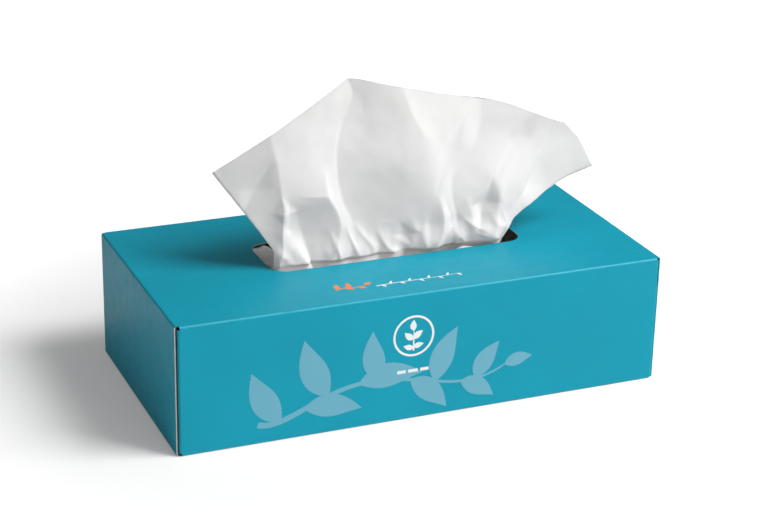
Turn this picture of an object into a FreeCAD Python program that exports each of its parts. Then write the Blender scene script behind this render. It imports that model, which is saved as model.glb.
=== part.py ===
import FreeCAD, Part
import math
import os

from FreeCAD import Vector

# A flat rectangular tissue box: one folded board carton with a slot in its top,
# the pile of tissues inside, the next tissue just under the slot and the tissue
# that stands up out of it.
# Millimetres. Origin at the centre of the carton's underside, +X along its
# length, the front face towards -Y, +Z up.

# Carton
carton_length = 230.0
carton_width = 116.0
carton_height = 60.0
board = 0.45                # thickness of the board
fold_radius = 0.55          # inside radius of each fold
glue_line = 0.1             # room between two layers that are glued
glue_flap_width = 16.0      # strip that closes the sleeve, inside the back panel
glue_flap_trim = 3.0        # cut back of that strip at each end
dust_flap_length = 42.0     # flaps from the front and back panels
inner_flap_height = 46.0    # end flaps from the bottom panel
end_flap_step = 1.2         # end flaps are this much narrower on each side
cut_edge_gap = 0.4          # room between a cut edge and the fold beside it

# Slot in the top panel
slot_length = 122.5
slot_width = 36.0
slot_corner = 8.0
slot_offset_x = 4.7         # off the middle, towards the right
slot_offset_y = 2.0

# Tissues
end_room = 5.45             # between the pile and the dust flaps at each end
side_room = 4.5             # between the pile and the glue flap or front panel
head_room = 14.0            # between the pile and the top panel
sheet_thickness = 0.3       # two soft plies
lay_gap = 0.1               # room between layers that lie on each other
fold_room = 0.6             # room inside the fold of a loosely folded sheet
pile_round = 2.0            # rounding of the pile's long edges

# Next tissue: its upper half climbs to a crest just under the slot
ramp_start = 16.0           # from the front fold to where it starts to climb
crest_depth = 1.0           # of the crest under the top panel's upper face
crest_setback = 3.0         # of the crest behind the slot's front edge, where there is room
crest_rise = 0.9            # how much higher it stands where it is clear of that edge
crest_clearance = 1.5       # to the raised tissue behind it
crest_overrun = 5.0         # past each end of the slot at full height
crest_fade = 26.0           # over which it sinks beyond that
crest_wave = 0.9            # height of the small waves along it
wave_run = 32.0             # length of one such wave
wave_group = 82.0           # length over which the waves swell and fade
wave_start = 13.0           # how far left of the middle they are at their highest
crest_tuck = 9.0            # how far its edge hangs down behind

# Raised tissue
apex_height = 82.0          # of its highest point over the top panel
left_spread = 25.3          # of the left corner beyond the foot's left end
right_spread = 52.0
side_bow = 3.0              # how far its side edges bow off straight lines
fold_depth = 10.0           # scale of the depth of all its folds
foot_drop = 3.0             # its foot line lies this far under the panel's face
foot_inset_left = 1.5       # from the slot's left end to the foot
foot_inset_right = 11.0
rim_clearance = 1.6         # behind the slot's front edge
left_hump = 8.4             # the gathered ends stay high under the slot's ends
right_hump = 8.4
hump_share = 0.12           # share of the sheet's width in each of those humps
hump_run = 0.6              # share of the way to the back fold over which they sink
foot_search = 10.0          # the next sheet's crest looks this far along for the nearest fold
tail_inset = 6.5            # of the tail's fold in front of the pile's back
tail_front = -26.0          # y of the tail's hidden edge, between the next sheet's halves

# Its free edge from corner to corner: (share of the way across, share of the
# apex height)
free_edge = (
    (0, 0.55), (0.145, 0.755), (0.274, 0.915), (0.344, 1), (0.473, 0.927), (0.645, 0.823),
    (0.747, 0.78), (0.812, 0.707), (0.93, 0.598), (0.96, 0.512), (1, 0.33),
)
# Bows of its side edges: (share of the height, x, z), in side bows
left_bow = ((0, 0, 0), (0.12, 1, 0), (0.25, 2, 0), (0.5, 1.43, 0), (0.75, 0.7, 0), (1, 0, 0))
right_bow = (
    (0, 0, 0), (0.2, -2.4, 0.2), (0.35, -3.7, 0.7), (0.5, -4.1, 0.5), (0.65, -3.6, 0.3),
    (0.83, -2, 0.5), (1, 0, 0),
)

# Its creases from left to right: where each runs, as (share of the height, share
# of the width), and how deep it lies, as (share of the height, setback behind
# the foot's front-most line in fold depths).
creases = {
    "left side": (
        ((0, 0), (1, 0)),
        ((0, 0.46), (0.08, 0.36), (0.25, 0.3), (0.5, 0.48), (0.8, 0.9), (1, 1.2)),
    ),
    "outer wing": (
        ((0, 0.002), (0.28, 0.014), (0.43, 0.028), (0.57, 0.04), (0.79, 0.05), (1, 0.05)),
        ((0, 0.41), (0.08, 0.31), (0.25, 0.26), (0.5, 0.43), (0.8, 0.81), (1, 1.08)),
    ),
    "inner wing": (
        ((0, 0.005), (0.28, 0.03), (0.43, 0.054), (0.57, 0.075), (0.79, 0.095), (1, 0.096)),
        ((0, 0.33), (0.08, 0.23), (0.25, 0.19), (0.5, 0.33), (0.8, 0.66), (1, 0.92)),
    ),
    "left ridge": (
        ((0, 0.01), (0.12, 0.022), (0.28, 0.044), (0.43, 0.08), (0.57, 0.108), (0.655, 0.117),
         (0.79, 0.131), (1, 0.138)),
        ((0, 0.22), (0.08, 0.15), (0.28, 0.12), (0.43, 0.13), (0.57, 0.22), (0.8, 0.48), (1, 0.75)),
    ),
    "pocket strip": (
        ((0, 0.1622), (0.1, 0.1285), (0.2, 0.0999), (0.3, 0.0896), (0.36, 0.0906), (0.42, 0.1007),
         (0.48, 0.1127), (0.54, 0.125), (0.6, 0.14), (0.8, 0.165), (1, 0.175)),
        ((0, 0.08), (0.1, 0.1), (0.2, 0.22), (0.3, 0.4), (0.36, 0.42), (0.42, 0.34), (0.48, 0.28),
         (0.54, 0.24), (0.65, 0.36), (0.8, 0.55), (1, 0.82)),
    ),
    "pocket hollow": (
        ((0, 0.1723), (0.1, 0.1487), (0.2, 0.1352), (0.4, 0.1354), (0.52, 0.15), (0.7, 0.2), (1, 0.21)),
        ((0, 0.32), (0.1, 0.44), (0.25, 0.52), (0.4, 0.45), (0.46, 0.31), (0.52, 0.19), (0.65, 0.41),
         (0.8, 0.63), (1, 0.89)),
    ),
    "pocket middle": (
        ((0, 0.1976), (0.2, 0.1956), (0.4, 0.1935), (0.5, 0.195), (0.65, 0.237), (0.84, 0.235),
         (1, 0.25)),
        ((0, 0.2), (0.08, 0.32), (0.25, 0.38), (0.39, 0.35), (0.44, 0.25), (0.5, 0.14), (0.65, 0.53),
         (0.8, 0.75), (1, 1.01)),
    ),
    "pocket ridge": (
        ((0, 0.227), (0.16, 0.2625), (0.22, 0.2734), (0.31, 0.2771), (0.38, 0.2645), (0.44, 0.2512),
         (0.52, 0.252), (0.7, 0.275), (0.85, 0.29), (1, 0.29)),
        ((0, 0.06), (0.16, 0.08), (0.22, 0.11), (0.31, 0.15), (0.38, 0.15), (0.44, 0.08), (0.52, 0.26),
         (0.65, 0.68), (0.8, 0.96), (1, 1.16)),
    ),
    "bright middle": (
        ((0, 0.2685), (0.2, 0.3014), (0.4, 0.2787), (0.6, 0.29), (0.85, 0.325), (1, 0.315)),
        ((0, 0.05), (0.1, 0.15), (0.2, 0.22), (0.4, 0.32), (0.5, 0.52), (0.65, 0.8), (0.8, 1.11),
         (1, 1.26)),
    ),
    "apex valley": (
        ((0, 0.3089), (0.1, 0.3253), (0.2, 0.3366), (0.38, 0.3046), (0.55, 0.304), (0.685, 0.312),
         (0.78, 0.332), (0.905, 0.357), (1, 0.34)),
        ((0, 0.12), (0.05, 0.26), (0.1, 0.26), (0.2, 0.36), (0.38, 0.52), (0.55, 0.74), (0.685, 0.96),
         (0.78, 1.16), (0.905, 1.3), (1, 1.36)),
    ),
    "centre left": (
        ((0, 0.395), (0.1, 0.385), (0.2, 0.372), (0.5, 0.36), (0.8, 0.385), (1, 0.36)),
        ((0, 0.1), (0.05, 0.12), (0.1, 0.24), (0.18, 0.38), (0.4, 0.51), (0.6, 0.72), (0.8, 1.09),
         (1, 1.29)),
    ),
    "centre band": (
        ((0, 0.46), (0.05, 0.45), (0.1, 0.445), (0.2, 0.462), (0.425, 0.47), (0.6, 0.45), (0.78, 0.415),
         (0.91, 0.395), (1, 0.385)),
        ((0, 0.3), (0.05, 0.32), (0.1, 0.32), (0.2, 0.3), (0.3, 0.3), (0.4, 0.31), (0.6, 0.42),
         (0.8, 0.9), (1, 1.17)),
    ),
    "centre": (
        ((0, 0.515), (0.05, 0.51), (0.1, 0.508), (0.17, 0.512), (0.25, 0.522), (0.43, 0.52), (0.6, 0.5),
         (0.8, 0.455), (1, 0.41)),
        ((0, 0.12), (0.04, 0.08), (0.08, 0.2), (0.13, 0.28), (0.25, 0.19), (0.4, 0.18), (0.6, 0.28),
         (0.8, 0.71), (1, 1.04)),
    ),
    "centre shelf": (
        ((0, 0.565), (0.05, 0.57), (0.1, 0.575), (0.17, 0.583), (0.25, 0.602), (0.35, 0.59),
         (0.43, 0.565), (0.6, 0.55), (0.8, 0.49), (1, 0.435)),
        ((0, 0.34), (0.05, 0.32), (0.1, 0.24), (0.17, 0.14), (0.35, 0.06), (0.6, 0.18), (0.8, 0.54),
         (1, 0.94)),
    ),
    "centre ridge": (
        ((0, 0.6226), (0.1, 0.6483), (0.2, 0.6538), (0.3, 0.6492), (0.35, 0.6409), (0.43, 0.6122),
         (0.59, 0.583), (0.72, 0.557), (0.85, 0.5), (1, 0.457)),
        ((0, 0.08), (0.05, 0.08), (0.1, 0.1), (0.2, 0.04), (0.35, 0), (0.43, 0.04), (0.59, 0.14),
         (0.72, 0.34), (0.85, 0.59), (1, 0.88)),
    ),
    "narrow ridge": (
        ((0, 0.6782), (0.2, 0.6971), (0.307, 0.676), (0.43, 0.6432), (0.6, 0.61), (0.75, 0.59),
         (0.85, 0.545), (1, 0.49)),
        ((0, 0.05), (0.05, -0.04), (0.2, -0.14), (0.307, -0.1), (0.43, 0.06), (0.6, 0.24), (0.75, 0.52),
         (0.85, 0.74), (1, 1)),
    ),
    "ridge foot": (
        ((0, 0.7136), (0.13, 0.7378), (0.25, 0.732), (0.32, 0.6955), (0.45, 0.6723), (0.6, 0.65),
         (0.75, 0.65), (0.87, 0.605), (1, 0.55)),
        ((0, 0.26), (0.06, 0.22), (0.13, 0.14), (0.25, 0.09), (0.32, 0.07), (0.45, 0.19), (0.6, 0.42),
         (0.75, 0.7), (0.87, 0.84), (1, 1.04)),
    ),
    "kite left": (
        ((0, 0.744), (0.13, 0.7781), (0.25, 0.7521), (0.32, 0.7286), (0.45, 0.6924), (0.544, 0.687),
         (0.714, 0.707), (0.908, 0.673), (1, 0.65)),
        ((0, 0.36), (0.06, 0.3), (0.13, 0.18), (0.25, 0.13), (0.32, 0.14), (0.48, 0.38), (0.6, 0.64),
         (0.7, 0.84), (0.9, 1.14), (1, 1.32)),
    ),
    "kite middle": (
        ((0, 0.7946), (0.13, 0.8285), (0.25, 0.8125), (0.39, 0.7624), (0.6, 0.755), (0.715, 0.745),
         (0.8, 0.73), (0.9, 0.715), (1, 0.7)),
        ((0, 0.42), (0.05, 0.3), (0.13, 0.06), (0.3, -0.02), (0.48, 0.2), (0.6, 0.42), (0.7, 0.7),
         (0.8, 0.92), (0.9, 1.02), (1, 1.12)),
    ),
    "kite right": (
        ((0, 0.8553), (0.13, 0.879), (0.235, 0.8736), (0.33, 0.8286), (0.42, 0.814), (0.55, 0.805),
         (0.715, 0.771), (0.8, 0.775), (0.92, 0.77), (1, 0.755)),
        ((0, 0.38), (0.05, 0.2), (0.13, -0.06), (0.235, 0.06), (0.3, 0.08), (0.48, 0.12), (0.6, 0.3),
         (0.7, 0.62), (0.8, 0.89), (0.9, 0.97), (1, 1.02)),
    ),
    "kite edge": (
        ((0, 0.916), (0.1, 0.931), (0.25, 0.9211), (0.36, 0.8923), (0.48, 0.86), (0.6, 0.85),
         (0.7, 0.83), (0.8, 0.82), (0.92, 0.815), (1, 0.8)),
        ((0, 0.3), (0.06, 0.06), (0.13, -0.12), (0.235, -0.08), (0.3, -0.08), (0.48, 0), (0.6, 0.32),
         (0.7, 0.63), (0.8, 0.9), (0.9, 0.99), (1, 1)),
    ),
    "vee": (
        ((0, 0.9577), (0.1, 0.9642), (0.25, 0.9483), (0.4, 0.9203), (0.5, 0.9), (0.613, 0.88),
         (0.75, 0.865), (0.87, 0.85), (1, 0.83)),
        ((0, 0.14), (0.08, 0), (0.16, -0.06), (0.3, 0.02), (0.48, 0.15), (0.6, 0.4), (0.7, 0.68),
         (0.8, 0.91), (0.9, 1.01), (1, 1.04)),
    ),
    "fold left": (
        ((0, 0.9772), (0.3, 0.9657), (0.46, 0.9421), (0.62, 0.915), (0.81, 0.878), (1, 0.847)),
        ((0, 0.08), (0.3, 0.1), (0.48, 0.23), (0.6, 0.46), (0.7, 0.73), (0.8, 0.93), (0.9, 1.03),
         (1, 1.06)),
    ),
    "fold right": (
        ((0, 0.987), (0.3, 0.9818), (0.46, 0.9601), (0.62, 0.938), (0.81, 0.9), (1, 0.868)),
        ((0, 0.16), (0.3, 0.24), (0.48, 0.38), (0.6, 0.66), (0.7, 0.97), (0.8, 1.16), (0.9, 1.26),
         (1, 1.28)),
    ),
    "right wing": (
        ((0, 0.9935), (0.3, 0.9902), (0.6, 0.968), (0.8, 0.95), (1, 0.93)),
        ((0, 0.2), (0.3, 0.25), (0.48, 0.36), (0.6, 0.62), (0.7, 0.93), (0.8, 1.09), (0.9, 1.17),
         (1, 1.22)),
    ),
    "right side": (
        ((0, 1), (1, 1)),
        ((0, 0.24), (0.3, 0.25), (0.48, 0.33), (0.6, 0.58), (0.7, 0.84), (0.8, 0.98), (0.9, 1.06),
         (1, 1.14)),
    ),
}
height_steps = 22           # rows of the raised part from its foot to its edge
# Rows of its hidden tail: (share of the way to the back fold, share of the drop
# still to go, width against the foot's)
tail_rows = ((0.1, 0.8, 1), (0.25, 0.3, 1.1), (0.45, 0.05, 1.3), (0.7, 0, 1.48), (1, 0, 1.6))
next_steps = 30             # columns of the next tissue along the carton
# Rows of its ramp from the pile to the crest: (share of the way, share of the climb)
ramp_rows = ((0.35, 0.2), (0.7, 0.65), (0.9, 0.93), (1, 1))
# Rows of its edge behind the crest: (sheet thicknesses behind, share of the tuck)
tuck_rows = ((1, 0.25), (2, 1))

# Levels and places worked out from the sizes above
fold_outside = fold_radius + board
layer_pitch = board + glue_line
half_length = carton_length / 2
half_width = carton_width / 2
inside_top = carton_height - board
pile_half_length = half_length - 2 * layer_pitch - board - end_room
pile_half_width = half_width - layer_pitch - board - side_room
pile_height = inside_top - board - lay_gap - head_room
slot_front = slot_offset_y - slot_width / 2
pile_top = board + lay_gap + pile_height
lower_level = pile_top + lay_gap + sheet_thickness / 2
upper_level = lower_level + sheet_thickness + fold_room
tail_low = lower_level + sheet_thickness + lay_gap
tail_high = tail_low + sheet_thickness + fold_room


def mix(a, b, share):
    """Number or vector a given share of the way from a to b."""
    return a + (b - a) * share


def ease(share):
    """Share that starts and ends gently."""
    share = min(max(share, 0.0), 1.0)
    return share * share * (3 - 2 * share)


def panel(x0, x1, y0, y1, z0, z1):
    """Flat stretch of board between two corners."""
    return Part.makeBox(x1 - x0, y1 - y0, z1 - z0, Vector(x0, y0, z0))


def bend(centre, side_a, side_b, run):
    """Quarter turn of board about centre, from side_a to side_b."""
    middle = (side_a + side_b).normalize()
    a_in, a_out = centre + side_a * fold_radius, centre + side_a * fold_outside
    b_in, b_out = centre + side_b * fold_radius, centre + side_b * fold_outside
    edges = [
        Part.makeLine(a_in, a_out),
        Part.Arc(a_out, centre + middle * fold_outside, b_out).toShape(),
        Part.makeLine(b_out, b_in),
        Part.Arc(b_in, centre + middle * fold_radius, a_in).toShape(),
    ]
    return Part.Face(Part.Wire(edges)).extrude(run)


def sleeve():
    """Four panels folded round the carton's length, with the glue flap."""
    flat_x = half_length - 2 * layer_pitch - fold_outside
    flat_y = half_width - fold_outside
    high_z = carton_height - fold_outside
    seam_y = half_width - layer_pitch
    flap_x = flat_x - glue_flap_trim
    run = Vector(2 * flat_x, 0, 0)
    up, down = Vector(0, 0, 1), Vector(0, 0, -1)
    front, rear = Vector(0, -1, 0), Vector(0, 1, 0)
    seam = Vector(-flap_x, seam_y - fold_outside, fold_outside)
    return [
        panel(-flat_x, flat_x, -flat_y, seam_y - fold_outside, 0, board),
        bend(Vector(-flat_x, -flat_y, fold_outside), down, front, run),
        panel(-flat_x, flat_x, -half_width, -half_width + board, fold_outside, high_z),
        bend(Vector(-flat_x, -flat_y, high_z), front, up, run),
        panel(-flat_x, flat_x, -flat_y, flat_y, inside_top, carton_height),
        bend(Vector(-flat_x, flat_y, high_z), up, rear, run),
        panel(-flat_x, flat_x, half_width - board, half_width, cut_edge_gap, high_z),
        bend(seam, down, rear, Vector(2 * flap_x, 0, 0)),
        panel(-flap_x, flap_x, seam_y - board, seam_y, fold_outside, fold_outside + glue_flap_width),
    ]


def end_flaps(side):
    """Flaps that close one end: two dust flaps, the inner and the outer flap."""
    flat_x = half_length - 2 * layer_pitch - fold_outside
    flat_y = half_width - fold_outside
    flap_y = half_width - end_flap_step
    high_z = carton_height - fold_outside
    outward = Vector(side, 0, 0)
    up, down = Vector(0, 0, 1), Vector(0, 0, -1)
    pieces = []

    def wall(outer_x, y0, y1, z0, z1):
        """Upright board whose outer face is at outer_x."""
        xs = sorted((side * outer_x, side * (outer_x - board)))
        return panel(xs[0], xs[1], y0, y1, z0, z1)

    def reach(to_x, y0, y1, z0, z1):
        """Stretch of a panel from the sleeve's end to its fold."""
        xs = sorted((side * flat_x, side * to_x))
        return panel(xs[0], xs[1], y0, y1, z0, z1)

    dust_x = half_length - 2 * layer_pitch
    dust_low, dust_high = fold_outside + cut_edge_gap, high_z - cut_edge_gap
    for front in (-1, 1):
        centre = Vector(side * flat_x, front * flat_y, dust_low)
        pieces.append(bend(centre, Vector(0, front, 0), outward, up * (dust_high - dust_low)))
        ys = sorted((front * flat_y, front * (flat_y - dust_flap_length)))
        pieces.append(wall(dust_x, ys[0], ys[1], dust_low, dust_high))

    inner_x = half_length - layer_pitch
    inner_back = flap_y - layer_pitch
    across = Vector(0, flap_y + inner_back, 0)
    pieces.append(reach(inner_x - fold_outside, -flap_y, inner_back, 0, board))
    fold_line = Vector(side * (inner_x - fold_outside), -flap_y, fold_outside)
    pieces.append(bend(fold_line, down, outward, across))
    pieces.append(wall(inner_x, -flap_y, inner_back, fold_outside, inner_flap_height))

    across = Vector(0, 2 * flap_y, 0)
    pieces.append(reach(half_length - fold_outside, -flap_y, flap_y, inside_top, carton_height))
    fold_line = Vector(side * (half_length - fold_outside), -flap_y, high_z)
    pieces.append(bend(fold_line, outward, up, across))
    pieces.append(wall(half_length, -flap_y, flap_y, cut_edge_gap, high_z))
    return pieces


def edges_along(block, direction):
    """Straight edges of a block that run along a direction."""
    found = []
    for edge in block.Edges:
        run = edge.lastVertex().Point - edge.firstVertex().Point
        if abs(run.dot(direction)) > run.cross(direction).Length:
            found.append(edge)
    return found


def slot_cutter():
    """Rounded rectangle that opens the top panel."""
    reach_x, reach_y = slot_length / 2, slot_width / 2
    low, high = inside_top - board, carton_height + board
    base = Vector(slot_offset_x - reach_x, slot_offset_y - reach_y, low)
    block = Part.makeBox(slot_length, slot_width, high - low, base)
    return block.makeFillet(slot_corner, edges_along(block, Vector(0, 0, 1)))


def carton():
    """The whole folded board, one piece."""
    pieces = sleeve() + end_flaps(-1) + end_flaps(1)
    folded = pieces[0].multiFuse(pieces[1:]).removeSplitter()
    return folded.cut(slot_cutter())


def tissue_pile():
    """Interfolded sheets, pressed into one block."""
    base = Vector(-pile_half_length, -pile_half_width, board + lay_gap)
    block = Part.makeBox(2 * pile_half_length, 2 * pile_half_width, pile_height, base)
    long_edges = edges_along(block, Vector(1, 0, 0))
    return block.makeFillet(pile_round, long_edges)


def thin_sheet(rows):
    """Closed solid of a sheet whose middle runs through rows of points.

    Between neighbouring points the sheet lies in flat facets, as creased
    tissue does.
    """
    last_row, last_column = len(rows) - 1, len(rows[0]) - 1
    width = last_column + 1
    front, back = [], []
    for i, row in enumerate(rows):
        for j, point in enumerate(row):
            rise = rows[min(i + 1, last_row)][j] - rows[max(i - 1, 0)][j]
            across = row[min(j + 1, last_column)] - row[max(j - 1, 0)]
            normal = across.cross(rise).normalize()
            front.append(point + normal * (sheet_thickness / 2))
            back.append(point - normal * (sheet_thickness / 2))
    under = len(front)
    facets = []
    for i in range(last_row):
        for j in range(last_column):
            a = i * width + j
            b, c, d = a + 1, a + 1 + width, a + width
            if (front[a] - front[c]).Length < (front[b] - front[d]).Length:
                pairs = ((a, b, c), (a, c, d))
            else:
                pairs = ((a, b, d), (b, c, d))
            facets += pairs
            facets += [(r + under, q + under, p + under) for p, q, r in pairs]
    bottom = [j for j in range(width)]
    right = [i * width + last_column for i in range(last_row + 1)]
    top = [last_row * width + j for j in range(width)][::-1]
    left = [i * width for i in range(last_row + 1)][::-1]
    rim = bottom + right[1:] + top[1:] + left[1:]
    for p, q in zip(rim, rim[1:]):
        facets += [(p, q + under, q), (p, p + under, q + under)]
    shell = Part.Shape()
    shell.makeShapeFromMesh((front + back, facets), 1e-5)
    solid = Part.makeSolid(shell)
    if solid.Volume < 0:
        solid.reverse()
    return solid


def at_knots(knots, share):
    """Values between the knots of a list whose first entries are shares."""
    for before, after in zip(knots, knots[1:]):
        if share <= after[0]:
            part = (share - before[0]) / (after[0] - before[0])
            return [mix(p, q, part) for p, q in zip(before[1:], after[1:])]
    return list(knots[-1][1:])


def smooth_knots(knots, share):
    """Value between knots of (share, value), on a smooth curve through them."""
    slopes = [(q[1] - p[1]) / (q[0] - p[0]) for p, q in zip(knots, knots[1:])]
    for i, (before, after) in enumerate(zip(knots, knots[1:])):
        if share <= after[0]:
            run = after[0] - before[0]
            part = (share - before[0]) / run
            leave = (slopes[max(i - 1, 0)] + slopes[i]) / 2 * run
            arrive = (slopes[i] + slopes[min(i + 1, len(slopes) - 1)]) / 2 * run
            chord = after[1] - before[1]
            off = (1 - part) * (leave - chord) + part * (chord - arrive)
            return mix(before[1], after[1], part) + part * (1 - part) * off
    return knots[-1][1]


def along(points, share):
    """Point at a share of a polyline's length."""
    runs = [math.dist(a, b) for a, b in zip(points, points[1:])]
    left = share * sum(runs)
    for a, b, run in zip(points, points[1:], runs):
        if left <= run:
            return [mix(p, q, left / run) for p, q in zip(a, b)]
        left -= run
    return list(points[-1])


def fan_outline():
    """Foot and free edge of the raised sheet, as (x, z) points."""
    foot_z = carton_height - foot_drop
    slot_left, slot_right = slot_offset_x - slot_length / 2, slot_offset_x + slot_length / 2
    foot = [(slot_left + foot_inset_left, foot_z), (slot_right - foot_inset_right, foot_z)]
    left_x, right_x = foot[0][0] - left_spread, foot[1][0] + right_spread
    edge = [
        (mix(left_x, right_x, across), carton_height + apex_height * rise)
        for across, rise in free_edge
    ]
    return foot, edge


foot_edge, top_edge = fan_outline()


def side_point(end, bow, height):
    """Point of the side edge at one end of the sheet, with its bow."""
    off = at_knots(bow, height)
    return [mix(p, q, height) + side_bow * d for p, q, d in zip(foot_edge[end], top_edge[end], off)]


def fan_point(height, across, setback):
    """Point of the raised sheet, spanned between its four edges."""
    left = side_point(0, left_bow, height)
    right = side_point(-1, right_bow, height)
    foot = along(foot_edge, across)
    edge = along(top_edge, across)
    place = []
    for k in (0, 1):
        foot_chord = mix(foot_edge[0][k], foot_edge[-1][k], across)
        top_chord = mix(top_edge[0][k], top_edge[-1][k], across)
        between = mix(foot[k], edge[k], height) - mix(foot_chord, top_chord, height)
        place.append(mix(left[k], right[k], across) + between)
    y = slot_front + rim_clearance + fold_depth * setback
    return Vector(place[0], y, place[1])


def hump(across):
    """How high the gathered sheet stays under the slot's two ends."""
    left = ease(1 - across / hump_share)
    right = ease(1 - (1 - across) / hump_share)
    return left_hump * left + right_hump * right


def tail_point(foot, across, share, drop, spread):
    """Point of the raised sheet's hidden part, on its way to the back fold."""
    x = slot_offset_x + (foot.x - slot_offset_x) * spread
    y = mix(foot.y, pile_half_width - tail_inset, share)
    lift = hump(across) * math.sin(math.pi * min(share / hump_run, 1.0))
    return Vector(x, y, mix(tail_high, foot.z, drop) + lift)


def raised_tissue():
    """The tissue that stands out of the slot, with its tail folded inside."""
    fan = []
    for step in range(height_steps + 1):
        height = step / height_steps
        row = []
        for line, depth in creases.values():
            across, setback = smooth_knots(line, height), smooth_knots(depth, height)
            row.append(fan_point(height, across, setback))
        fan.append(row)
    feet = fan[0]
    shares = [line[0][1] for line, depth in creases.values()]
    tail = [
        [tail_point(foot, across, *row) for foot, across in zip(feet, shares)]
        for row in tail_rows
    ]
    fold = tail[-1]
    turn = (tail_high - tail_low) / 2
    fold_row = [Vector(p.x, p.y + turn, p.z - turn) for p in fold]
    under_row = [Vector(p.x, p.y, tail_low) for p in fold]
    middle_row = [Vector(p.x, (p.y + tail_front) / 2, tail_low) for p in fold]
    end_row = [Vector(p.x, tail_front, tail_low) for p in fold]
    hidden = tail + [fold_row, under_row, middle_row, end_row]
    return thin_sheet(hidden[::-1] + fan)


def foot_line(x):
    """Front-most y of the raised tissue's foot near a place along the slot."""
    places = []
    for line, depth in creases.values():
        point = fan_point(0, line[0][1], depth[0][1])
        places.append((point.x, point.y))
    near = [y for px, y in places if abs(px - x) < foot_search]
    return min(near) if near else slot_offset_y


def next_tissue():
    """The following sheet: folded at the front, its upper half up to the slot."""
    slot_left = slot_offset_x - slot_length / 2
    slot_right = slot_offset_x + slot_length / 2
    crest_z = carton_height - crest_depth
    start_y = -pile_half_width + ramp_start
    turn = (upper_level - lower_level) / 2
    columns = []
    for step in range(next_steps + 1):
        x = mix(-pile_half_length, pile_half_length, step / next_steps)
        inside = min(x - slot_left, slot_right - x)
        lift = ease(1 + (inside + crest_overrun) / crest_fade)
        swell = math.cos(2 * math.pi * (x + wave_start) / wave_group)
        wave = crest_wave * (1 + math.sin(2 * math.pi * x / wave_run) * swell) / 2
        crest_y = min(slot_front + crest_setback, foot_line(x) - crest_clearance)
        clear = min(inside / slot_corner - 1, (crest_y - slot_front) / crest_setback)
        top = mix(upper_level, crest_z - wave + crest_rise * ease(clear), lift)
        tuck = crest_tuck * lift
        column = [
            Vector(x, pile_half_width, lower_level),
            Vector(x, 0, lower_level),
            Vector(x, -pile_half_width + turn, lower_level),
            Vector(x, -pile_half_width, lower_level + turn),
            Vector(x, -pile_half_width + turn, upper_level),
            Vector(x, start_y, upper_level),
        ]
        for way, climb in ramp_rows:
            column.append(Vector(x, mix(start_y, crest_y, way), mix(upper_level, top, climb)))
        for behind, hang in tuck_rows:
            column.append(Vector(x, crest_y + behind * sheet_thickness, top - tuck * hang))
        columns.append(column)
    rows = [list(row) for row in zip(*columns)]
    return thin_sheet([row[::-1] for row in rows])


parts = {
    "carton": carton(),
    "tissue_pile": tissue_pile(),
    "next_tissue": next_tissue(),
    "raised_tissue": raised_tissue(),
}

os.makedirs("parts", exist_ok=True)
for name, shape in parts.items():
    shape.exportStep(f"parts/{name}.step")
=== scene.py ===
import math

import bmesh
import bpy
from bpy.props import FloatProperty, FloatVectorProperty, IntProperty, PointerProperty
from mathutils import Matrix, Vector, noise


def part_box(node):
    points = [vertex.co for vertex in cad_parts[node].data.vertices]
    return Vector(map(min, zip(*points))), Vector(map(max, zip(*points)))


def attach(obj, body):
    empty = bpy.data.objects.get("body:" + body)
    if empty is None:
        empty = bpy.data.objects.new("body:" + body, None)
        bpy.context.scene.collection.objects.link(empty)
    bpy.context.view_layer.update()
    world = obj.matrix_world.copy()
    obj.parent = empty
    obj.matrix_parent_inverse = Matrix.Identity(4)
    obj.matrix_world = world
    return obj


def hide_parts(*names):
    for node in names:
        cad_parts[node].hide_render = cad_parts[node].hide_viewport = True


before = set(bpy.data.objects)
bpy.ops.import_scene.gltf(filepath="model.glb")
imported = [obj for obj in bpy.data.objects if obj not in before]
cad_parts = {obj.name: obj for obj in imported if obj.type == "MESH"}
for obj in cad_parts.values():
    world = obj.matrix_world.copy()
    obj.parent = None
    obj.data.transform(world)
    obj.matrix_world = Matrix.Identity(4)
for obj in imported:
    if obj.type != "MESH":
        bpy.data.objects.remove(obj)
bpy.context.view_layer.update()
CARTON_LOW, CARTON_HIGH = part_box("carton")
BODY = "root"
MM = 0.001

# Printed board
FACED = 0.6  # part of a normal along an axis from which a face counts as facing it
FIBRE_SIZE = 0.5 * MM
PATCH_SIZE = 6 * MM
CLOUD_SIZE = 60 * MM
INK_ROUGHNESS = (0.36, 0.44)
RAW_ROUGHNESS = 0.85
PAPER_ROUGHNESS = 0.95

# Meshes of the sheets
JOINED_ANGLE = math.radians(35)  # triangles of one facet are joined below this fold
JOINED_SHAPE = math.radians(70)  # and if their corners come this near to square
RIM_EDGE = 0.35 * MM  # shorter edges run across the sheet's thickness
RIM_SHARE = 0.4  # part of the thickness that the rim keeps
RIM_ANGLE, RIM_CREASE = math.radians(70), 1.0
FOLD_ANGLE, FOLD_CREASE = math.radians(14), 0.6
HALF_SHEET = 0.15 * MM
UPPER_LAYER = 13.3 * MM  # the hidden sheet's upper layer ends this far under the panel
HIDDEN_BEHIND = 24 * MM  # from here to the back the sheet lies hidden
LIGHTEN_ANGLE = math.radians(3)

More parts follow.
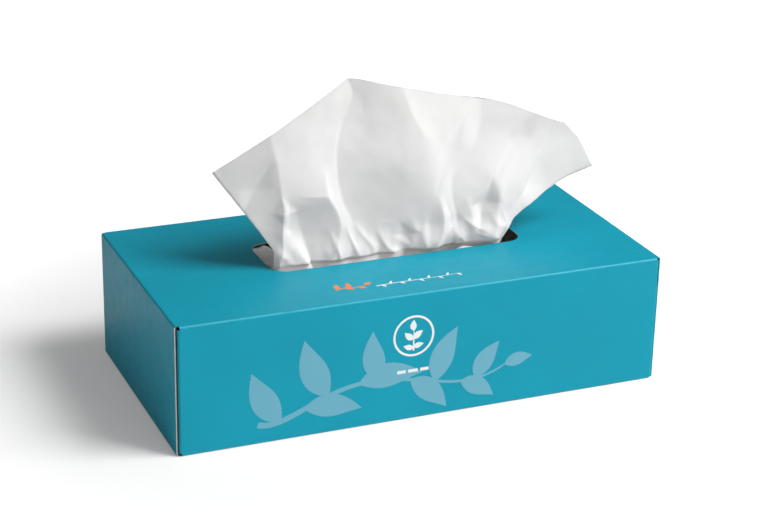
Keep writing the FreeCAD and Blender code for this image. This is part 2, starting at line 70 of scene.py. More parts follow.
# Where the raised sheet is worked over, each as four places in millimetres: start,
# full, start to fade, gone. Heights are over the top panel.
FLARE_HEIGHTS = (0.3, 2.2, 3.5, 14)
FLARE_SPAN = (-52, -40, 51, 57)
FLARE_ENDS = 0.35  # part of the swell that is left past its span
FLARE_SIZE = 11 * MM  # distance between its stronger places
FLARE_MEAN, FLARE_SPREAD = 0.75, 0.5
FLARE_PLACE = (8.3, 1.7)  # which part of the noise it takes
GATHER_HEIGHTS = (-0.5, 4, 7, 19)
GATHER_LEAN = 0.35  # how far a gather goes aside as it rises
GATHER_MEAN = 0.4  # mean height, taken off so that the sheet keeps its place
GATHER_FOLDS = (1.0, 0.4, 0.45)  # fineness across, part of the noise, fineness upward
GATHER_WRINKLES, WRINKLE_SHARE = (2.1, 3.7, 1.3), 0.5
TAIL_HEIGHTS = (-12, -9, -5, -2.5)
TAIL_REACH = (-8, 0, 20, 24)
TAIL_FINENESS = 1.3
CRUMPLE_SEED = 7  # without it each run would draw other creases
CRUMPLE_RISE = 10 * MM
CRUMPLE_OCTAVES = ((1.0, 1.0), (2.3, 0.4))  # fineness, share
SIDEWAYS = 0.3  # part of a crease's push that goes along the sheet

# Swellings under the slot's ends, in millimetres: place along the carton, reach,
# room left under the panel, how far back they are full
SWELLINGS = ((-54, 12, 1.0, 20), (55, 9, 1.4, 12))
SWELL_FRONT, SWELL_FULL = -9, -3  # where they start and are full, from front to back
SWELL_FADE = 12  # distance over which they end at the back
PIT_DEPTH, PIT_SIZE = 3 * MM, 7 * MM  # hollows in them

# Printed shapes, in millimetres from the carton's middle and its underside (front)
# or its middle (top). Leaves: share of the stem, angle, length, half width.
LEAF_STEPS, STEM_STEPS, RING_STEPS = 18, 40, 64
LEAF_BEND = 0.12  # how far a leaf bows aside, as part of its length
LAYER_STEP = 0.006  # each shape lies this much over the one before
SPRIG_STEM = ((-79, 9), (-58, 2), (-38, 40), (-8, 22), (12, 4), (39, 20))
SPRIG_LEAVES = (
    (0.1, 118, 28, 6.0), (0.2, -8, 27, 5.4), (0.3, 112, 30, 6.4), (0.42, 2, 30, 5.8),
    (0.5, 98, 24, 5.2), (0.62, -42, 24, 5.2), (0.72, 68, 27, 5.6), (0.82, -30, 19, 4.4),
    (0.88, 56, 20, 4.6), (0.99, 10, 14, 3.2),
)
SPRIG_HALF = 1.4
BADGE_CENTRE, BADGE_RADIUS, BADGE_LINE = (-7, 40), 9.2, 0.5
BADGE_STEM, BADGE_HALF = ((-7, 33), (-7, 38), (-7, 43)), 0.45
BADGE_LEAVES = (
    (0.95, 90, 5.2, 1.5), (0.55, 140, 5.6, 1.5), (0.55, 40, 5.6, 1.5),
    (0.15, 165, 5, 1.3), (0.15, 15, 5, 1.3),
)
BADGE_BARS, BARS_HEIGHT, BAR_HALF = ((-14.5, -10.5), (-9.3, -4.7), (-3.5, 0.5)), 23.4, 0.75
TOP_STEM = ((-38, -43.5), (-33, -39.5), (-29, -45.5), (-23, -41.5))
TOP_LEAVES = (
    (0.1, 80, 5.4, 1.4), (0.3, -30, 5.0, 1.3), (0.5, 85, 5.4, 1.4),
    (0.7, -30, 4.6, 1.2), (0.95, 30, 4.6, 1.2),
)
TOP_HALF = 0.5
LINE_STEM, LINE_HALF = ((-19.5, -44.5), (-6, -43), (8, -44.5), (22, -43)), 0.3
LINE_LEAVES = [(0.06 + 0.11 * i, 58 if i % 2 else -58, 3.0, 0.62) for i in range(9)]

# Dents of the raised sheet: x, z, lean, half width, half height, depth
DENTS = (
    (47, 79, 0.3, 9, 15, 2.5), (-50, 86, -0.2, 7, 9, -1.3), (8, 69, -0.5, 8, 8, 1.2),
    (30, 104, 0.5, 9, 20, 1.2), (-62, 97, 0.6, 8, 14, 1.2), (66, 106, 0.9, 9, 18, 1.3),
)

# Studio, in metres: lamp, place, size, its power's setting
LAMPS = (
    ("key_lamp", (0.8, -0.6, 1.25), (0.8, 0.8), "key_power"),
    ("front_lamp", (0.5, -1.7, 0.6), (1.2, 0.8), "fill_power"),
    ("left_lamp", (-1.5, -0.3, 0.5), (1.0, 0.8), "left_power"),
)
LAMP_AIM = (0, 0, 0.06)

bl_info = {
    "name": "Tissue box",
    "version": (1, 0, 0),
    "blender": (4, 5, 0),
    "location": "View3D > Sidebar > Tissue Box",
    "description": "Dresses a printed carton of tissues and sets up its studio",
    "category": "Add Mesh",
}


def colour(name, description, default):
    """Colour property in linear values."""
    return FloatVectorProperty(
        name=name, description=description, default=default, size=3, subtype="COLOR", min=0, max=1
    )


def length(name, description, default):
    """Length property in metres."""
    return FloatProperty(name=name, description=description, default=default, min=0, unit="LENGTH")


def power(name, description, default):
    """Lamp power property in watts."""
    return FloatProperty(name=name, description=description, default=default, min=0, unit="POWER")


class BoardSettings(bpy.types.PropertyGroup):
    """Printed folding board of the carton."""

    print_colour: colour("Print colour", "Teal ink all over the outside", (0.004, 0.33, 0.455))
    # worn colour: partly stretched ink, partly a painted highlight where the folds catch the light
    worn_highlight_colour: colour("Worn fold and highlight colour", "Ink stretched pale along the folds, plus painted highlight", (0.12, 0.52, 0.64))
    bounce_colour: colour("Bounce colour", "Greyed light thrown on the tissue", (0.3, 0.33, 0.34))
    bounce_share: FloatProperty(
        name="Bounce share", description="How much of that light is greyed", default=0.75
    )
    raw_colour: colour("Raw board colour", "Unprinted inside and cut edges", (0.62, 0.61, 0.58))
    # painted shade: stands in for the shadow in the gaps between the laps
    gap_shade_colour: colour("Painted gap shade", "Painted shade on cut edges deep between the flaps", (0.05, 0.06, 0.06))
    lap_depth: length("Lap depth", "How deep the dust flaps lie under the end flaps", 1.3 * MM)
    lap_step: length("Lap step", "How far the end flaps stop short of the corners", 1.15 * MM)
    gap_shade_start: length("Gap start", "Depth from which the cut edges darken", 0.44 * MM)
    gap_shade_end: length("Gap end", "Depth at which they are dark", 0.6 * MM)
    skin: length("Ink depth", "How deep a surface may lie and still count as the outside", 0.33 * MM)
    end_reach: length("End ink reach", "How far in the cut edges of the right end took ink", 2 * MM)
    wear_highlight_reach: length("Fold wear and highlight reach", "Width of the worn, highlighted line on each side of a fold", 1.0 * MM)


class TissueSettings(bpy.types.PropertyGroup):
    """Soft two-ply tissue."""

    tissue_colour: colour("Tissue colour", "Bleached tissue", (0.77, 0.763, 0.755))
    # painted light: lighter tissue near the slot stands in for light thrown between the folds
    foot_light_colour: colour("Foot painted light colour", "Tissue at the slot, painted lighter for the light its folds throw", (0.87, 0.85, 0.84))
    foot_light_rise: length("Foot rise", "How far over the panel the foot's colour reaches", 30 * MM)
    cloud_size: length("Cloud size", "Width of the faint clouds in the tissue", 14 * MM)
    crepe_size: length("Crepe size", "Distance between the crepe's fine lines", 0.9 * MM)
    leaf_size: length("Leaf size", "Height of the lines in the pile's edges", 0.7 * MM)
    cut_width: length("Sheet width", "Cut size across the carton", 210 * MM)
    cut_length: length("Sheet length", "Cut size along the carton", 216 * MM)
    smoothing: IntProperty(name="Smoothing", description="Subdivision levels", default=3, min=1, max=4)
    flare_depth: length("Flare depth", "How far the sheet swells out over the slot's front edge", 1.9 * MM)
    gather_depth: length("Gather depth", "Depth of the fine gathers at the slot", 1.1 * MM)
    gather_size: length("Gather size", "Distance between the fine gathers", 9 * MM)
    tail_depth: length("Tail crumple depth", "Height of the creases behind the slot's front", 1.8 * MM)
    crumple_depth: length("Crumple depth", "Height of the small random creases", 0.4 * MM)
    crumple_size: length("Crumple size", "Distance between the small random creases", 15 * MM)


class PrintSettings(bpy.types.PropertyGroup):
    """Simple printed shapes."""

    tint_colour: colour("Tint", "Pale tint of the leaf sprig on the front", (0.135, 0.41, 0.53))
    white_colour: colour("White", "White ink", (0.84, 0.86, 0.86))
    accent_colour: colour("Accent", "Orange ink", (0.74, 0.24, 0.035))
    ink_height: length("Ink height", "How far the printed shapes stand off the board", 0.03 * MM)


class StageSettings(bpy.types.PropertyGroup):
    """Camera and studio."""

    target: FloatVectorProperty(
        name="Target", description="Point on the camera's axis", subtype="XYZ", unit="LENGTH",
        default=(5.6 * MM, 6.9 * MM, 51.2 * MM),
    )
    distance: length("Distance", "From the camera to the target", 935.9 * MM)
    azimuth: FloatProperty(
        name="Azimuth", description="Turn about the upright", unit="ROTATION",
        default=math.radians(-23.013),
    )
    elevation: FloatProperty(
        name="Elevation", description="Height over the horizon", unit="ROTATION",
        default=math.radians(21.881),
    )
    roll: FloatProperty(
        name="Roll", description="Turn in the picture", unit="ROTATION",
        default=math.radians(1.245),
    )
    lens: FloatProperty(name="Lens", description="Focal length in millimetres", default=94.69)
    key_power: power("Key power", "Large lamp above right", 27.0)
    fill_power: power("Fill power", "Soft lamp in front", 5.0)
    left_power: power("Left power", "Weak lamp at the left", 1.5)
    sky: FloatProperty(name="Sky", description="Strength of the even light", default=0.16)
    floor_half: length("Floor half", "Half of the floor's side", 6.0)
    glow_start: length("Glow start", "Distance at which the floor starts to whiten", 0.13)
    glow_end: length("Glow end", "Distance from which it is white", 0.38)
    glow_low: FloatProperty(name="Glow under the box", description="Floor's own light there", default=0.16)
    glow_high: FloatProperty(name="Glow far off", description="Floor's own light there", default=0.85)


SETTINGS = {
    "tissue_box_board": BoardSettings,
    "tissue_box_tissue": TissueSettings,
    "tissue_box_print": PrintSettings,
    "tissue_box_stage": StageSettings,
}


class Nodes:
    """Short way to lay out one material's nodes."""

    def __init__(self, name):
        self.material = bpy.data.materials.new(name)
        self.material.use_nodes = True
        self.tree = self.material.node_tree
        self.shader = self.tree.nodes["Principled BSDF"]

    def add(self, kind, **values):
        """New node; values set its attributes."""
        node = self.tree.nodes.new(kind)
        for key, value in values.items():
            setattr(node, key, value)
        return node

    def join(self, source, target):
        """Link a socket, or set a plain value, on a target socket."""
        if isinstance(source, bpy.types.NodeSocket):
            self.tree.links.new(source, target)
        else:
            target.default_value = source

    def math(self, operation, *inputs):
        """Result socket of a math node."""
        node = self.add("ShaderNodeMath", operation=operation)
        for source, target in zip(inputs, node.inputs):
            self.join(source, target)
        return node.outputs[0]

    def ramp(self, value, low, high, out_low=0.0, out_high=1.0):
        """Smooth step of a value between two limits."""
        node = self.add("ShaderNodeMapRange", interpolation_type="SMOOTHSTEP")
        for source, name in ((value, "Value"), (low, "From Min"), (high, "From Max"),
                             (out_low, "To Min"), (out_high, "To Max")):
            self.join(source, node.inputs[name])
        return node.outputs["Result"]

    def mix(self, share, first, second):
        """Colour a share of the way from first to second."""
        node = self.add("ShaderNodeMix", data_type="RGBA")
        self.join(share, node.inputs["Factor"])
        colours = [s for s in node.inputs if s.type == "RGBA"]
        for source, target in zip((first, second), colours):
            self.join(source if isinstance(source, bpy.types.NodeSocket) else (*source, 1), target)
        return [s for s in node.outputs if s.type == "RGBA"][0]

    def place(self):
        """Object coordinates."""
        return self.add("ShaderNodeTexCoord").outputs["Object"]

    def split(self, vector):
        """The three parts of a vector."""
        node = self.add("ShaderNodeSeparateXYZ")
        self.join(vector, node.inputs[0])
        return node.outputs

    def noise(self, size, detail=2.0, roughness=0.5, stretch=(1, 1, 1)):
        """Noise whose spots are about size metres across."""
        mapping = self.add("ShaderNodeMapping")
        self.join(self.place(), mapping.inputs["Vector"])
        mapping.inputs["Scale"].default_value = stretch
        node = self.add("ShaderNodeTexNoise")
        self.join(mapping.outputs["Vector"], node.inputs["Vector"])
        node.inputs["Scale"].default_value = 1 / size
        node.inputs["Detail"].default_value = detail
        node.inputs["Roughness"].default_value = roughness
        return node.outputs["Fac"]

    def bump(self, height, distance, strength):
        """Bump of a height field, in metres."""
        node = self.add("ShaderNodeBump")
        self.join(height, node.inputs["Height"])
        node.inputs["Distance"].default_value = distance
        node.inputs["Strength"].default_value = strength
        self.join(node.outputs["Normal"], self.shader.inputs["Normal"])


def board_depths(n, place):
    """How deep a point lies under the carton's sides, along each axis."""
    centre = (CARTON_LOW + CARTON_HIGH) / 2
    half = (CARTON_HIGH - CARTON_LOW) / 2
    depths = []
    for axis in range(3):
        off = n.math("ABSOLUTE", n.math("SUBTRACT", place[axis], centre[axis]))
        depths.append(n.math("SUBTRACT", half[axis], off))
    return depths


def board_outside(n, depths, settings):
    """Share that is 1 on the printed outside, with the dust flaps between the laps."""
    facing = n.split(n.add("ShaderNodeNewGeometry").outputs["Normal"])
    faced = [n.math("GREATER_THAN", n.math("ABSOLUTE", facing[axis]), FACED) for axis in range(3)]
    lapped = n.math("LESS_THAN", depths[0], settings.lap_depth)
    beside = n.math("LESS_THAN", depths[1], settings.lap_step)
    outside = n.math("MULTIPLY", n.math("MULTIPLY", lapped, beside), faced[0])
    for depth, side in zip(depths, faced):
        near = n.math("LESS_THAN", depth, settings.skin)
        outside = n.math("MAXIMUM", outside, n.math("MULTIPLY", near, side))
    return outside


def board_ink(n, depths, patches, settings):
    """Teal ink, faintly cloudy, paler along the long folds: partly wear, partly a painted highlight where
    they catch the light.
    """
    fold = n.math("MAXIMUM", depths[1], depths[2])
    # the paler line along the long folds is partly wear and partly painted highlight
    worn = n.ramp(fold, settings.wear_highlight_reach, 0.1 * settings.wear_highlight_reach)
    worn = n.math("MULTIPLY", worn, n.ramp(patches, 0.25, 0.6, 0.2, 0.5))
    clouds = n.noise(CLOUD_SIZE, detail=2)
    deep = [c * 0.93 for c in settings.print_colour]
    ink = n.mix(n.ramp(clouds, 0.3, 0.7), settings.print_colour, deep)
    return n.mix(worn, ink, settings.worn_highlight_colour)


def board_raw(n, place, depths, fibres, ink, settings):
    """Bare board: painted shade on the cut edges deep in the laps, and inked on the right end's cut edges.
    """
    pale = [c * 0.9 for c in settings.raw_colour]
    raw = n.mix(n.ramp(fibres, 0.3, 0.7), settings.raw_colour, pale)
    beside = n.math("LESS_THAN", depths[1], settings.end_reach)
    # painted shade: cut edges deep between the flaps take the gap shade colour
    deep = n.math("MULTIPLY", n.ramp(depths[0], settings.gap_shade_start, settings.gap_shade_end), beside)
    raw = n.mix(deep, raw, settings.gap_shade_colour)
    inked = n.math("GREATER_THAN", place[0], CARTON_HIGH.x - settings.end_reach)
    return n.mix(n.math("MULTIPLY", inked, beside), raw, ink)


def board_material(settings):
    """Teal print on the outside of pale board, paler along the folds from wear and a painted highlight."""
    n = Nodes("printed_board")
    place = n.split(n.place())
    depths = board_depths(n, place)
    outside = board_outside(n, depths, settings)
    patches = n.noise(PATCH_SIZE, detail=3)
    fibres = n.noise(FIBRE_SIZE, detail=3, roughness=0.6)
    ink = board_ink(n, depths, patches, settings)
    raw = board_raw(n, place, depths, fibres, ink, settings)
    shown = n.mix(outside, raw, ink)
    bounced = n.add("ShaderNodeLightPath").outputs["Is Diffuse Ray"]
    bounced = n.math("MULTIPLY", bounced, settings.bounce_share)
    n.join(n.mix(bounced, shown, settings.bounce_colour), n.shader.inputs["Base Color"])
    matt = n.add("ShaderNodeMix", data_type="FLOAT")
    n.join(outside, matt.inputs["Factor"])
    n.join(RAW_ROUGHNESS, matt.inputs[2])
    n.join(n.ramp(patches, 0.3, 0.7, *INK_ROUGHNESS), matt.inputs[3])
    n.join(matt.outputs[0], n.shader.inputs["Roughness"])
    n.shader.inputs["Specular IOR Level"].default_value = 0.16
    n.bump(fibres, 0.01 * MM, 0.5)
    return n.material


def ink_material(name, ink, base):
    """Printed shape: the ink with the board's faint fibre showing through."""
    n = Nodes(name)
    fibres = n.noise(FIBRE_SIZE, detail=3, roughness=0.6)
    thin = [a + (b - a) * 0.06 for a, b in zip(ink, base)]
    n.join(n.mix(n.ramp(fibres, 0.35, 0.65), ink, thin), n.shader.inputs["Base Color"])
    n.join(n.ramp(n.noise(PATCH_SIZE), 0.3, 0.7, *INK_ROUGHNESS), n.shader.inputs["Roughness"])
    n.bump(fibres, 0.02 * MM, 0.5)
    return n.material


def tissue_material(settings):
    """Soft matt tissue that lets some light through, painted lighter near the slot where its folds throw
    light on each other.
    """
    n = Nodes("tissue_paper")
    cloud = n.noise(settings.cloud_size, detail=3)
    shade = [c * 0.965 for c in settings.tissue_colour]
    paper = n.mix(n.ramp(cloud, 0.35, 0.65), settings.tissue_colour, shade)
    panel = CARTON_HIGH.z
    height = n.split(n.place())[2]
    # painted light: lighter towards the slot, for the light the close folds throw on each other
    foot = n.ramp(height, panel + settings.foot_light_rise, panel + settings.foot_light_rise / 3)
    n.join(n.mix(foot, paper, settings.foot_light_colour), n.shader.inputs["Base Color"])
    n.shader.inputs["Roughness"].default_value = PAPER_ROUGHNESS
    n.shader.inputs["Specular IOR Level"].default_value = 0.1
    n.shader.inputs["Subsurface Weight"].default_value = 0.35
    n.shader.inputs["Subsurface Radius"].default_value = (1, 1, 1)
    n.shader.inputs["Subsurface Scale"].default_value = 2 * MM
    crepe = n.noise(settings.crepe_size, detail=2, stretch=(1, 1, 0.4))
    n.bump(crepe, 0.05 * MM, 0.6)
    return n.material


def pile_material(settings):
    """Edges of many pressed sheets: fine level lines of painted shade between the sheets, a little uneven.
    """
    n = Nodes("tissue_pile")
    leaves = n.noise(settings.leaf_size, detail=2, stretch=(0.03, 0.03, 1))
    # painted shade: the darker lines stand for the shade in the thin gaps between the sheets
    shade = [c * 0.72 for c in settings.tissue_colour]
    n.join(n.mix(n.ramp(leaves, 0.4, 0.62), settings.tissue_colour, shade), n.shader.inputs["Base Color"])
    n.shader.inputs["Roughness"].default_value = PAPER_ROUGHNESS
    n.bump(leaves, 0.25 * MM, 0.8)
    return n.material


def finish_piece(bm, name, material):
    """Object made from a bmesh, riding on the box."""
    mesh = bpy.data.meshes.new(name)
    bm.to_mesh(mesh)
    bm.free()
    piece = bpy.data.objects.new(name, mesh)
    bpy.context.scene.collection.objects.link(piece)
    mesh.materials.append(material)
    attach(piece, BODY)
    return piece


def apply_subdivision(piece, levels):
    """Subdivision surface, applied to the mesh."""
    modifier = piece.modifiers.new("rounding", "SUBSURF")
    modifier.levels = modifier.render_levels = levels
    depsgraph = bpy.context.evaluated_depsgraph_get()
    smooth = bpy.data.meshes.new_from_object(piece.evaluated_get(depsgraph))
    piece.modifiers.remove(modifier)
    old = piece.data
    piece.data = smooth
    smooth.name = piece.name
    bpy.data.meshes.remove(old)


def creased_copy(node):
    """Copy of a solid sheet's mesh, with its rim and sharper folds creased."""
    bm = bmesh.new()
    bm.from_mesh(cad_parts[node].data)
    bmesh.ops.remove_doubles(bm, verts=bm.verts[:], dist=1e-6)
    bmesh.ops.join_triangles(
        bm, faces=bm.faces[:], angle_face_threshold=JOINED_ANGLE, angle_shape_threshold=JOINED_SHAPE
    )
    for edge in bm.edges:
        if edge.calc_length() < RIM_EDGE:
            middle = (edge.verts[0].co + edge.verts[1].co) / 2
            for vertex in edge.verts:
                vertex.co = middle + (vertex.co - middle) * RIM_SHARE
    crease = bm.edges.layers.float.new("crease_edge")
    for edge in bm.edges:
        if not edge.is_manifold:
            continue
        angle = edge.calc_face_angle()
        if angle > RIM_ANGLE:
            edge[crease] = RIM_CREASE
        elif angle > FOLD_ANGLE:
            edge[crease] = FOLD_CREASE
    return bm


def step(value, low, high):
    """Share of the way from low to high, eased at both ends."""
    share = min(max((value - low) / (high - low), 0), 1)
    return share * share * (3 - 2 * share)


def band(value, limits):
    """Share that eases in over the first two limits and out over the last two, in millimetres."""
    low, full, fading, gone = (limit * MM for limit in limits)
    return step(value, low, full) * (1 - step(value, fading, gone))


def crumple(piece, settings, panel):
    """Small random creases; both faces of the sheet move together."""
    noise.seed_set(CRUMPLE_SEED)
    for vertex in piece.data.vertices:
        place = vertex.co / settings.crumple_size
        push = Vector((0, 0, 0))
        for fineness, share in CRUMPLE_OCTAVES:
            push += share * noise.noise_vector(place * fineness)
        above = step(vertex.co.z, panel, panel + CRUMPLE_RISE)
        behind = band(vertex.co.y, TAIL_REACH) * band(vertex.co.z - panel, TAIL_HEIGHTS)
        ridge = 1 - 2 * abs(noise.noise(place * TAIL_FINENESS))
        vertex.co += Vector((push.x * SIDEWAYS, push.y, push.z * SIDEWAYS)) * settings.crumple_depth * above
        vertex.co.z += (ridge - 0.5) * settings.tail_depth * behind


def upright_noise(x, z, kind):
    """Noise over the sheet's front: fineness across, part of the noise, fineness upward."""
    across, part, upward = kind
    return noise.noise(Vector((x * across, part, z * upward)))


def gather(piece, settings, panel):
    """Fine sharp gathers just above the slot, where the sheet is squeezed."""
    for vertex in piece.data.vertices:
        x, y, z = vertex.co / settings.gather_size
        ridge = 1 - 2 * abs(upright_noise(x + GATHER_LEAN * z, z, GATHER_FOLDS))
        folds = ridge ** 3 + WRINKLE_SHARE * upright_noise(x, z, GATHER_WRINKLES)
        squeeze = band(vertex.co.z - panel, GATHER_HEIGHTS)
        vertex.co.y -= (folds - GATHER_MEAN) * settings.gather_depth * squeeze


def flare(piece, settings, panel):
    """Swell of the sheet's front just above the slot, before it turns under."""
    for vertex in piece.data.vertices:
        x, y, z = vertex.co
        rise = band(z - panel, FLARE_HEIGHTS)
        span = FLARE_ENDS + (1 - FLARE_ENDS) * band(x, FLARE_SPAN)
        uneven = FLARE_MEAN + FLARE_SPREAD * noise.noise(Vector((x / FLARE_SIZE, *FLARE_PLACE)))
        vertex.co.y -= settings.flare_depth * rise * span * uneven


def dent(piece, place, lean, reach, depth):
    """Soft diamond pressed back into the sheet, or out of it if below zero."""
    for vertex in piece.data.vertices:
        rise = vertex.co.z - place[1]
        aside = vertex.co.x - place[0] - lean * rise
        vertex.co.y += depth * step(1 - abs(aside) / reach[0] - abs(rise) / reach[1], 0, 1)


def lighten(piece, panel):
    """Fewer faces where the sheet lies hidden under the top panel."""
    bm = bmesh.new()
    bm.from_mesh(piece.data)
    hidden = {v for v in bm.verts if v.co.y > HIDDEN_BEHIND or v.co.z < panel - UPPER_LAYER}
    edges = [e for e in bm.edges if hidden.issuperset(e.verts)]
    bmesh.ops.dissolve_limit(bm, angle_limit=LIGHTEN_ANGLE, verts=list(hidden), edges=edges)
    bm.to_mesh(piece.data)
    bm.free()


def plump(piece, panel):
    """Hidden part of the sheet, swollen close under the two ends of the slot."""
    for vertex, normal in zip(piece.data.vertices, piece.data.vertex_normals):
        x, y, z = vertex.co
        if z > panel or z < panel - UPPER_LAYER or y < SWELL_FRONT * MM:
            continue
        middle = z - HALF_SHEET * (1 if normal.vector.z > 0 else -1)
        pit = PIT_DEPTH * abs(noise.noise(Vector((x, y, 0)) / PIT_SIZE))
        for end, reach, room, back in SWELLINGS:
            aside = abs(x - end * MM)
            share = 1 - step(aside, 0.4 * reach * MM, 1.6 * reach * MM)
            share *= band(y, (SWELL_FRONT, SWELL_FULL, back, back + SWELL_FADE))
            vertex.co.z += share * max(panel - room * MM - pit - middle, 0)


def bezier(points, t):
    """Point at t on a smooth curve led by its control points."""
    while len(points) > 1:
        points = [a.lerp(b, t) for a, b in zip(points, points[1:])]
    return points[0]


def stroke(bm, line, half, steps, lift=0.0):
    """Strip of ink along a line: half gives half its width on the way."""
    for vertex in bmesh.ops.create_grid(bm, x_segments=steps, y_segments=1, size=1)["verts"]:
        t = (vertex.co.x + 1) / 2
        ahead, behind = line(min(t + 0.01, 1)), line(max(t - 0.01, 0))
        run = (ahead - behind).normalized()
        place = line(t) + Vector((-run.y, run.x)) * half(t) * vertex.co.y
        vertex.co = (place.x, place.y, lift)


def leaf(bm, base, angle, size, half, lift):
    """Pointed leaf from its base, turned by an angle in degrees."""
    way = Vector((math.cos(math.radians(angle)), math.sin(math.radians(angle))))
    middle = base + way * size / 2 + Vector((-way.y, way.x)) * size * LEAF_BEND
    points = [base, middle, base + way * size]
    stroke(bm, lambda t: bezier(points, t), lambda t: half * math.sin(math.pi * t ** 0.8), LEAF_STEPS, lift)


def twig(bm, points, half, leaves):
    """Curved stem, thin towards its tip, with leaves (share, angle, size, half)."""
    points = [Vector(p) for p in points]
    stroke(bm, lambda t: bezier(points, t), lambda t: half * (1 - 0.7 * t), STEM_STEPS)
    for layer, (share, angle, size, leaf_half) in enumerate(leaves, 1):
        leaf(bm, bezier(points, share), angle, size, leaf_half, layer * LAYER_STEP)


def ring(bm, centre, radius, half):
    """Round line."""
    centre = Vector(centre)

    def line(t):
        turn = 2 * math.pi * t
        return centre + radius * Vector((math.cos(turn), math.sin(turn)))

    stroke(bm, line, lambda t: half, RING_STEPS)


def ink_piece(bm, name, material, face, height):
    """Printed shapes drawn flat in millimetres, laid on the front or top face."""
    bmesh.ops.remove_doubles(bm, verts=bm.verts[:], dist=1e-4)
    raised = bmesh.ops.extrude_face_region(bm, geom=bm.faces[:])["geom"]
    top = [part for part in raised if isinstance(part, bmesh.types.BMVert)]
    bmesh.ops.translate(bm, verts=top, vec=(0, 0, height / MM))
    bmesh.ops.recalc_face_normals(bm, faces=bm.faces[:])
    bmesh.ops.scale(bm, verts=bm.verts[:], vec=(MM, MM, MM))
    if face == "front":
        turn = Matrix.Rotation(math.radians(90), 4, "X")
        bmesh.ops.transform(bm, verts=bm.verts[:], matrix=turn)
        bmesh.ops.translate(bm, verts=bm.verts[:], vec=(0, CARTON_LOW.y, 0))
    else:
        bmesh.ops.translate(bm, verts=bm.verts[:], vec=(0, 0, CARTON_HIGH.z))
    return finish_piece(bm, name, material)


class TISSUEBOX_OT_front_print(bpy.types.Operator):
    """Print a pale sprig and a small white badge on the front"""

    bl_idname = "tissuebox.front_print"
    bl_label = "Add front print"

    def execute(self, context):
        settings = context.scene.tissue_box_print
        base = context.scene.tissue_box_board.print_colour
        bm = bmesh.new()
        twig(bm, SPRIG_STEM, SPRIG_HALF, SPRIG_LEAVES)
        tint = ink_material("tint_ink", settings.tint_colour, base)
        ink_piece(bm, "front_sprig", tint, "front", settings.ink_height)
        bm = bmesh.new()
        ring(bm, BADGE_CENTRE, BADGE_RADIUS, BADGE_LINE)
        twig(bm, BADGE_STEM, BADGE_HALF, BADGE_LEAVES)
        for left, right in BADGE_BARS:
            ends = Vector((left, BARS_HEIGHT)), Vector((right, BARS_HEIGHT))
            stroke(bm, lambda t: ends[0].lerp(ends[1], t), lambda t: BAR_HALF, 1)
        white = ink_material("white_ink", settings.white_colour, base)
        ink_piece(bm, "front_badge", white, "front", settings.ink_height * 2)
        return {"FINISHED"}


class TISSUEBOX_OT_top_print(bpy.types.Operator):
    """Print a small orange sprig and a fine white twig on the top"""

    bl_idname = "tissuebox.top_print"
    bl_label = "Add top print"

    def execute(self, context):
        settings = context.scene.tissue_box_print
        base = context.scene.tissue_box_board.print_colour
        bm = bmesh.new()
        twig(bm, TOP_STEM, TOP_HALF, TOP_LEAVES)
        accent = ink_material("accent_ink", settings.accent_colour, base)
        ink_piece(bm, "top_sprig", accent, "top", settings.ink_height)
        bm = bmesh.new()
        white = bpy.data.materials["white_ink"]
        twig(bm, LINE_STEM, LINE_HALF, LINE_LEAVES)
        ink_piece(bm, "top_twig", white, "top", settings.ink_height)
        return {"FINISHED"}


class TISSUEBOX_OT_carton(bpy.types.Operator):
    """Give the folded carton its printed board"""

    bl_idname = "tissuebox.carton"
    bl_label = "Dress carton"

    def execute(self, context):
        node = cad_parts["carton"]
        node.data.materials.clear()
        node.data.materials.append(board_material(context.scene.tissue_box_board))
        return {"FINISHED"}


class TISSUEBOX_OT_pile(bpy.types.Operator):
    """Give the pile of tissues its leaf edges"""

    bl_idname = "tissuebox.pile"
    bl_label = "Dress pile"

    def execute(self, context):
        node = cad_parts["tissue_pile"]
        node.data.materials.clear()
        node.data.materials.append(pile_material(context.scene.tissue_box_tissue))
        return {"FINISHED"}


class TISSUEBOX_OT_tissues(bpy.types.Operator):
    """Make the raised tissue and the next one under the slot"""

    bl_idname = "tissuebox.tissues"
    bl_label = "Add tissues"

    def execute(self, context):
        settings = context.scene.tissue_box_tissue
        paper = tissue_material(settings)
        panel = CARTON_HIGH.z
        for node, name, held, levels in (
            ("raised_tissue", "raised_sheet", "gathered", settings.smoothing),
            ("next_tissue", "next_sheet", "folded", settings.smoothing - 1),
        ):
            piece = finish_piece(creased_copy(node), name, paper)
            apply_subdivision(piece, levels)
            if node == "raised_tissue":
                plump(piece, panel)
                flare(piece, settings, panel)
                gather(piece, settings, panel)
                for x, z, lean, wide, high, depth in DENTS:
                    dent(piece, (x * MM, z * MM), lean, (wide * MM, high * MM), depth * MM)
                crumple(piece, settings, panel)
                lighten(piece, panel)
            piece.data.shade_smooth()
            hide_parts(node)
        return {"FINISHED"}


class TISSUEBOX_OT_stage(bpy.types.Operator):
    """Set up the floor, the lamps and the camera"""

    bl_idname = "tissuebox.stage"
    bl_label = "Add stage"

    def execute(self, context):
        settings = context.scene.tissue_box_stage
        add_floor(settings)
        add_world(settings.sky)
        for name, place, size, setting in LAMPS:
            add_lamp(name, place, size, getattr(settings, setting))
        add_camera(settings)
        context.scene.view_settings.view_transform = "Standard"
        return {"FINISHED"}


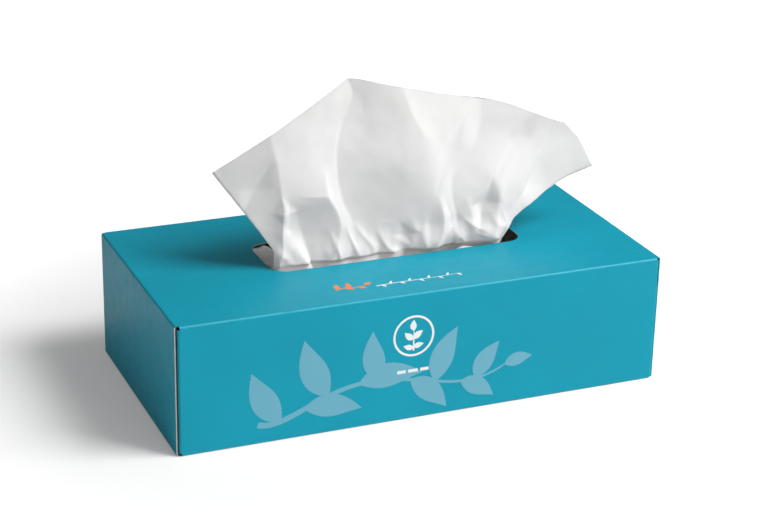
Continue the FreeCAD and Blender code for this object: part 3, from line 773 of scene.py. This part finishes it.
def add_floor(settings):
    """Wide pale floor, white to the camera and grey only in the shadow."""
    bm = bmesh.new()
    bmesh.ops.create_grid(bm, x_segments=1, y_segments=1, size=settings.floor_half)
    mesh = bpy.data.meshes.new("floor")
    bm.to_mesh(mesh)
    bm.free()
    floor = bpy.data.objects.new("floor", mesh)
    bpy.context.scene.collection.objects.link(floor)
    n = Nodes("floor")
    n.shader.inputs["Base Color"].default_value = (0.85, 0.85, 0.85, 1)
    n.shader.inputs["Roughness"].default_value = 0.9
    n.shader.inputs["Specular IOR Level"].default_value = 0.1
    n.shader.inputs["Emission Color"].default_value = (1, 1, 1, 1)
    away = n.add("ShaderNodeVectorMath", operation="LENGTH")
    n.join(n.place(), away.inputs[0])
    glow = n.ramp(
        away.outputs["Value"], settings.glow_start, settings.glow_end, settings.glow_low, settings.glow_high
    )
    seen = n.add("ShaderNodeLightPath").outputs["Is Camera Ray"]
    n.join(n.math("MULTIPLY", glow, seen), n.shader.inputs["Emission Strength"])
    mesh.materials.append(n.material)


def add_world(strength):
    """Even light all round, plain white where the camera sees it."""
    world = bpy.data.worlds.new("studio")
    bpy.context.scene.world = world
    world.use_nodes = True
    tree = world.node_tree
    background = tree.nodes["Background"]
    background.inputs["Color"].default_value = (1, 1, 1, 1)
    path = tree.nodes.new("ShaderNodeLightPath")
    pick = tree.nodes.new("ShaderNodeMix")
    pick.data_type = "FLOAT"
    tree.links.new(path.outputs["Is Camera Ray"], pick.inputs["Factor"])
    pick.inputs[2].default_value = strength
    pick.inputs[3].default_value = 1.0
    tree.links.new(pick.outputs[0], background.inputs["Strength"])


def add_lamp(name, place, size, watts):
    """Rectangular area lamp aimed at the box."""
    data = bpy.data.lights.new(name, "AREA")
    data.shape = "RECTANGLE"
    data.size, data.size_y = size
    data.energy = watts
    lamp = bpy.data.objects.new(name, data)
    bpy.context.scene.collection.objects.link(lamp)
    lamp.location = place
    aim = Vector(LAMP_AIM) - lamp.location
    lamp.rotation_euler = aim.to_track_quat("-Z", "Y").to_euler()


def add_camera(settings):
    """Camera at the photograph's viewing angle."""
    az, el, roll = settings.azimuth, settings.elevation, settings.roll
    back = Vector((math.sin(az) * math.cos(el), -math.cos(az) * math.cos(el), math.sin(el)))
    level = Vector((math.cos(az), math.sin(az), 0))
    upright = back.cross(level)
    right = math.cos(roll) * level + math.sin(roll) * upright
    up = math.cos(roll) * upright - math.sin(roll) * level
    data = bpy.data.cameras.new("camera")
    data.lens = settings.lens
    data.sensor_width = 36
    data.clip_start = 0.05
    camera = bpy.data.objects.new("camera", data)
    bpy.context.scene.collection.objects.link(camera)
    turn = Matrix((right, up, back)).transposed().to_4x4()
    camera.matrix_world = Matrix.Translation(Vector(settings.target) + back * settings.distance) @ turn
    bpy.context.scene.camera = camera


OPERATORS = (
    TISSUEBOX_OT_carton,
    TISSUEBOX_OT_front_print,
    TISSUEBOX_OT_top_print,
    TISSUEBOX_OT_pile,
    TISSUEBOX_OT_tissues,
    TISSUEBOX_OT_stage,
)


class TISSUEBOX_PT_panel(bpy.types.Panel):
    """Sidebar panel that lists the pieces"""

    bl_label = "Tissue Box"
    bl_idname = "TISSUEBOX_PT_panel"
    bl_space_type = "VIEW_3D"
    bl_region_type = "UI"
    bl_category = "Tissue Box"

    def draw(self, context):
        for operator in OPERATORS:
            self.layout.operator(operator.bl_idname)
        for name, group in SETTINGS.items():
            box = self.layout.box()
            for key in group.__annotations__:
                box.prop(getattr(context.scene, name), key)


def register():
    """Add the settings, operators and panel."""
    for name, group in SETTINGS.items():
        bpy.utils.register_class(group)
        setattr(bpy.types.Scene, name, PointerProperty(type=group))
    for cls in (*OPERATORS, TISSUEBOX_PT_panel):
        bpy.utils.register_class(cls)


def unregister():
    """Take them away again."""
    for cls in (TISSUEBOX_PT_panel, *reversed(OPERATORS)):
        bpy.utils.unregister_class(cls)
    for name, group in SETTINGS.items():
        delattr(bpy.types.Scene, name)
        bpy.utils.unregister_class(group)


def main():
    """Make every piece in order."""
    register()
    bpy.ops.tissuebox.carton()
    bpy.ops.tissuebox.front_print()
    bpy.ops.tissuebox.top_print()
    bpy.ops.tissuebox.pile()
    bpy.ops.tissuebox.tissues()
    bpy.ops.tissuebox.stage()


if __name__ == "__main__":
    main()
